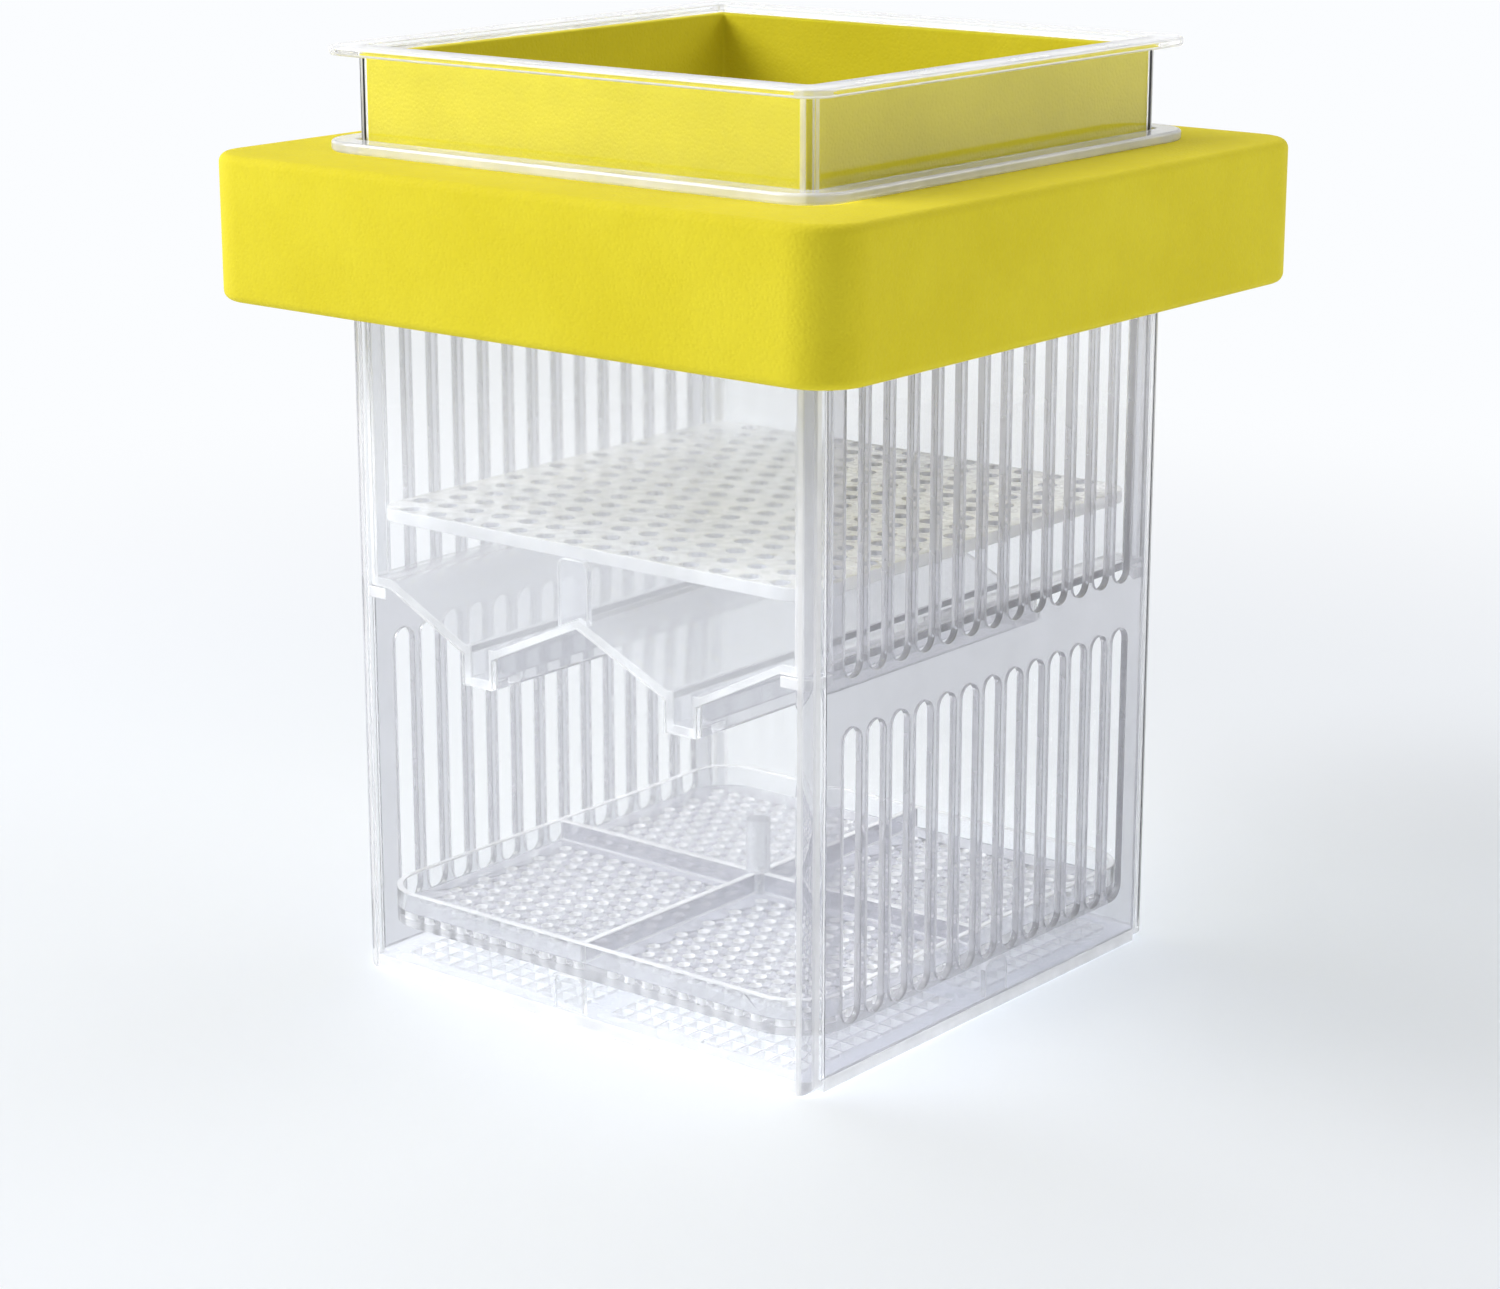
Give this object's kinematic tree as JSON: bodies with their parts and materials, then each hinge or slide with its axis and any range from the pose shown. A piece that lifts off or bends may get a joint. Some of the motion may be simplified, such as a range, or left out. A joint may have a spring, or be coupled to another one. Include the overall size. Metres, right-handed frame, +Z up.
{
  "type": "fish breeding box",
  "caption": "Clear slotted hatchery box hung in a foam float ring, with a lift-out basket, a perforated spawning shelf, a W-shaped floor and a fry tray.",
  "frame": {"origin": "centre of the base plate's underside, on the surface that the box stands on", "axes": "+Z up, the way the basket lifts out; the plain panels face -Y and +Y; the slotted panels face -X and +X"},
  "size_m": [0.1344, 0.1344, 0.1624],
  "materials": {
    "clear_box_plastic": "gloss",
    "clear_basket_plastic": "gloss",
    "clear_tray_plastic": "gloss",
    "float_foam": "matte",
    "liner_foam": "satin"
  },
  "bodies": {
    "box": {"base_grid": "clear_box_plastic", "tray_rests": "clear_box_plastic", "front_panel": "clear_box_plastic", "back_panel": "clear_box_plastic", "left_slot_panel": "clear_box_plastic", "right_slot_panel": "clear_box_plastic", "basket_seats": "clear_box_plastic", "box_rim": "clear_box_plastic"},
    "ring": {"float_ring": "float_foam"},
    "basket": {"basket_neck": "clear_basket_plastic", "neck_liner": "liner_foam", "basket_front_wall": "clear_basket_plastic", "basket_back_wall": "clear_basket_plastic", "hatchery_floor": "clear_basket_plastic", "front_shelf_rest": "clear_basket_plastic", "back_shelf_rest": "clear_basket_plastic"},
    "shelf": {"spawning_shelf": "clear_tray_plastic"},
    "tray": {"fry_tray": "clear_tray_plastic", "lengthwise_divider": "clear_tray_plastic", "crosswise_divider": "clear_tray_plastic", "lifting_post": "clear_tray_plastic"}
  },
  "joints": [
    {"name": "ring_slide", "type": "slide", "parent": "box", "child": "ring", "axis": [0, 0, -1], "range_m": [0, 0.118]},
    {"name": "basket_lift", "type": "slide", "parent": "box", "child": "basket", "axis": [0, 0, 1], "range_m": [0, 0.1]},
    {"name": "shelf_lift", "type": "slide", "parent": "basket", "child": "shelf", "axis": [0, 0, 1], "range_m": [0, 0.036]},
    {"name": "tray_lift", "type": "slide", "parent": "box", "child": "tray", "axis": [0, 0, 1], "range_m": [0, 0.04]}
  ]
}
